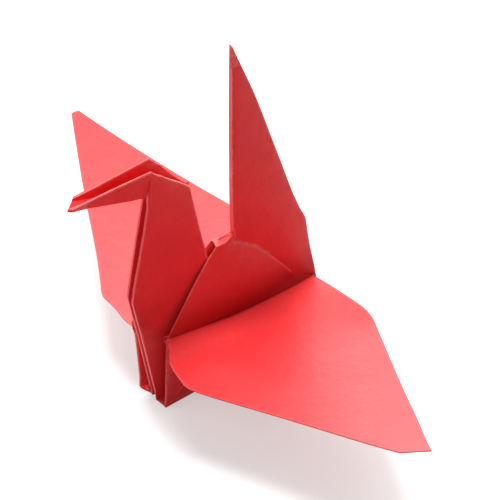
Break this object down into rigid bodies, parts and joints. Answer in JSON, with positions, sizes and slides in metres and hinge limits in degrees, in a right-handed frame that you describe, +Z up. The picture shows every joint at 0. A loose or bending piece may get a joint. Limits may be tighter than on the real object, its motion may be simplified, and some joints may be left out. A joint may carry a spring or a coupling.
{
  "type": "origami crane",
  "caption": "Small folded paper crane with a closed neck and head, a long upright tail and two level wings, standing on its keel.",
  "frame": {"origin": "on the table, under the middle of the crane", "axes": "+Z up, -Y towards the head, +X towards the tip of the crane's left wing"},
  "size_m": [0.0612, 0.028, 0.0376],
  "materials": {
    "paper": "matte, deep red on both faces"
  },
  "bodies": {
    "root": {"paper_crane": "paper"}
  },
  "joints": []
}
